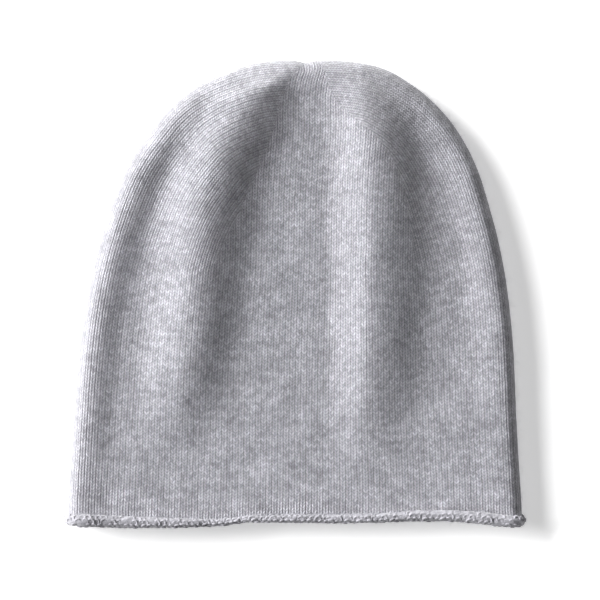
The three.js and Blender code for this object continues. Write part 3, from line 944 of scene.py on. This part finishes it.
varied = turned(loops, lying, tipped, 0.0, random_number(loops, -LOOP_TWIST, LOOP_TWIST, 2))
points = loops.node("GeometryNodeMeshToPoints", given["Geometry"]).outputs[0]
scale = random_number(loops, *LOOP_SCALES, 4)
scatter(loops, points, strand_mesh(loops, lifted, given["Yarn Radius"], 5), varied,
        vector(loops, scale, scale, scale), given["Material"], put)


def grown(name, guide, group, **values):
    """A plain mesh of what a Geometry Nodes group makes from a guide, whose modifier is then removed."""
    modifier = guide.modifiers.new(name, "NODES")
    modifier.node_group = group.tree
    for item in group.tree.interface.items_tree:
        if item.in_out == "INPUT" and item.name.replace(" ", "_") in values:
            modifier[item.identifier] = values[item.name.replace(" ", "_")]
    evaluated = guide.evaluated_get(bpy.context.evaluated_depsgraph_get())
    mesh = bpy.data.meshes.new_from_object(evaluated)
    guide.modifiers.remove(modifier)
    made = bpy.data.objects.new(name, mesh)
    bpy.context.collection.objects.link(made)
    print(name + ":", sum(len(p.vertices) - 2 for p in mesh.polygons), "triangles")
    return made


print("yarn loops:", len(loops.tree.nodes), "nodes")

# %% The purl side's material and the finished loops
# The hem's yarn is the body's yarn, painted darker as shade so that the low sun on the roll does not light
# it brighter than the body.
HEM_SHADED_COLOUR = (0.32, 0.315, 0.345, 1)
STRAND_SCALE, PURL_SCALE = 420.0, 1500.0  # cells in a metre, of the tone and of the bump
PURL_BUMP = 0.0003
purl_material, tree, shader = new_material("heather_purl")
soft_surface(shader, roughness=0.9, sheen=0.6)
position = tree.node("ShaderNodeTexCoord").outputs["Object"]
strand_tone = tree.noise(position, STRAND_SCALE, 2.0)
yarn = place(tree, heather, Base=HEM_SHADED_COLOUR, Place=position, Tone=strand_tone, Gap=0.0)
bump = tree.node("ShaderNodeBump")
bump.inputs["Strength"].default_value = 0.9
bump.inputs["Distance"].default_value = PURL_BUMP
tree.tree.links.new(tree.noise(position, PURL_SCALE, 3.0, 0.6), bump.inputs["Height"])
tree.tree.links.new(bump.outputs[0], shader.inputs["Normal"])
tree.tree.links.new(yarn["Color"], shader.inputs["Base Color"])
hem_roll.data.materials.append(purl_material)
hem_loops = grown("hem_loops", loop_guide, loops, Material=purl_material)
bpy.data.objects.remove(loop_guide)

# %% [markdown]
# Fine wool is never clean at its edge: loose fibres stand off it and catch the light, and they
# make the outline soft. Hair curves would do this in a render only, and the export needs
# meshes. So a second tree scatters short bent tubes over the outer face. An input sets how
# steep the face must be: one run covers all the cap thinly, another crowds the sides and the
# crown, where the fibres show against the table. Faces that look down get none, because the
# table presses theirs flat.

# %% Loose fibres
FIBRE_COLOUR = (0.5, 0.495, 0.53, 1)
FIBRE_TONE_SCALE = 300.0  # cells in a metre
DOWN_WEIGHT = -8.0  # lets a face that looks down count as too flat
FIBRE_POINTS = 4  # along one fibre
FIBRE_LIFTS = (-2.2, 0.2)  # times Lift: how a fibre tips up from the face, in radians
FIBRE_LENGTHS = (0.35, 1.3)
FIBRE_SWAY = 2.0  # how much more a fibre bends to one side or the other
fibres, given, put = new_group(
    "loose fibres",
    {"Geometry": (G, None), "Material": (M, None), "Density": (F, 40000.0), "Flattest": (F, 1.0),
     "Length": (F, 0.003), "Fibre Radius": (F, 0.00003), "Lift": (F, 0.3), "Seed": (I, 1)},
    {"Geometry": G}, kind="GeometryNodeTree",
)
up = fibres.node("ShaderNodeSeparateXYZ", fibres.node("GeometryNodeInputNormal").outputs[0]).outputs["Z"]
steep = fibres.node("FunctionNodeCompare", data_type="FLOAT", operation="LESS_EQUAL")
flatness = fibres.maths("MAXIMUM", up, fibres.maths("MULTIPLY", up, DOWN_WEIGHT))
fibres.tree.links.new(flatness, steep.inputs[0])
fibres.tree.links.new(given["Flattest"], steep.inputs[1])
spread = fibres.node(
    "GeometryNodeDistributePointsOnFaces", given["Geometry"], steep.outputs[0],
    distribute_method="RANDOM", named={"Seed": given["Seed"]},
)
fibres.tree.links.new(given["Density"], spread.inputs["Density"])
curl = fibres.node(
    "GeometryNodeCurveQuadraticBezier", FIBRE_POINTS, (0, 0, 0), (0.5, 0.12, 0.2), (1.0, -0.1, 0.25)
).outputs[0]
strand = fibres.node("GeometryNodeTransform", curl, named={
    "Scale": vector(fibres, given["Length"], given["Length"], given["Length"])}).outputs[0]
around = random_number(fibres, 0.0, 2 * math.pi, 11)
lift = fibres.maths("MULTIPLY", random_number(fibres, *FIBRE_LIFTS, 12), given["Lift"])
turn = turned(fibres, turned(fibres, spread.outputs["Rotation"], 0.0, 0.0, around), 0.0, lift, 0.0)
length = random_number(fibres, *FIBRE_LENGTHS, 13)
sway = fibres.maths("MULTIPLY", random_number(fibres, -FIBRE_SWAY, FIBRE_SWAY, 14), length)
scatter(fibres, spread.outputs["Points"], strand_mesh(fibres, strand, given["Fibre Radius"], 3), turn,
        vector(fibres, length, sway, length), given["Material"], put)

fibre_material, tree, shader = new_material("loose_fibre")
soft_surface(shader, roughness=0.8, sheen=0.3)
position = tree.node("ShaderNodeTexCoord").outputs["Object"]
fibre_tone = tree.noise(position, FIBRE_TONE_SCALE)
yarn = place(tree, heather, Base=FIBRE_COLOUR, Place=position, Tone=fibre_tone, Gap=0.0)
tree.tree.links.new(yarn["Color"], shader.inputs["Base Color"])

fibre_guide = add_mesh("fibre_guide", shell_points[:half], [grid_faces(1, ring_count, ring_size)])
face_fibres = grown(
    "face_fibres", fibre_guide, fibres, Material=fibre_material, Density=60000.0, Seed=5
)
edge_fibres = grown(
    "edge_fibres", fibre_guide, fibres, Material=fibre_material, Density=420000.0,
    Flattest=0.75, Length=0.0032, Lift=0.5, Seed=9,
)
bpy.data.objects.remove(fibre_guide)
hem_fibres = grown(
    "hem_fibres", hem_roll, fibres, Material=fibre_material, Density=260000.0,
    Length=0.0024, Lift=0.4, Seed=17,
)

# %% [markdown]
# The photo is taken from straight above on a white table. A large soft light stands low on the
# left, so the folds show a bright and a dark side, and the shadow falls to the right and below
# the hem. A sun lamp with a wide angle gives that from one direction, and a pale world fills
# the shadows. The table gives off a little light of its own, because a real light tent makes
# it brighter than the subject's own light would.

# %% Table, light and camera
TABLE_SIZE = 3
TABLE_GLOW = 0.46
TENT_STRENGTH = 0.115
PHOTO_WIDTH = 0.306  # metres across the photo
PHOTO_CENTRE = (0.00255, -0.0033)
CAMERA_HEIGHT = 2.0
SENSOR_WIDTH = 36

bpy.ops.mesh.primitive_plane_add(size=TABLE_SIZE)
floor = bpy.context.object
floor.name = "table_top"
floor_material, tree, shader = new_material("white_table")
shader.inputs["Roughness"].default_value = 0.95
shader.inputs["Specular IOR Level"].default_value = 0.0
shader.inputs["Base Color"].default_value = (0.95, 0.95, 0.95, 1)
shader.inputs["Emission Color"].default_value = (1, 1, 1, 1)
shader.inputs["Emission Strength"].default_value = TABLE_GLOW
floor.data.materials.append(floor_material)

world = bpy.data.worlds.new("light_tent")
bpy.context.scene.world = world
world.use_nodes = True
world.node_tree.nodes["Background"].inputs["Color"].default_value = (0.98, 0.98, 1, 1)
world.node_tree.nodes["Background"].inputs["Strength"].default_value = TENT_STRENGTH


def add_sun(name, strength, elevation, azimuth, spread):
    """azimuth: where the light comes from, in degrees from +X towards +Y."""
    lamp = bpy.data.lights.new(name, "SUN")
    lamp.energy = strength
    lamp.angle = math.radians(spread)
    made = bpy.data.objects.new(name, lamp)
    bpy.context.collection.objects.link(made)
    made.rotation_euler = (0, math.radians(90 - elevation), math.radians(azimuth))
    return made


add_sun("window_left", strength=10.4, elevation=20.5, azimuth=158, spread=44)
camera_data = bpy.data.cameras.new("camera")
camera = bpy.data.objects.new("camera", camera_data)
bpy.context.collection.objects.link(camera)
camera.location = (*PHOTO_CENTRE, CAMERA_HEIGHT)
camera_data.sensor_width = SENSOR_WIDTH
camera_data.lens = SENSOR_WIDTH * CAMERA_HEIGHT / PHOTO_WIDTH
bpy.context.scene.camera = camera
bpy.context.scene.view_settings.view_transform = "Standard"
print("camera:", CAMERA_HEIGHT, "m up, with a lens of", round(camera_data.lens), "mm")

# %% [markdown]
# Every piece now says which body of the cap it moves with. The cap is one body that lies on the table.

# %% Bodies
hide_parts("knit_body")
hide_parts("rolled_hem")
for piece, slot in (
    (knit_body, "knit"), (hem_roll, "hem_knit"), (hem_loops, "hem_knit"),
    (face_fibres, "knit"), (edge_fibres, "knit"), (hem_fibres, "hem_knit"),
):
    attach(piece, "root")
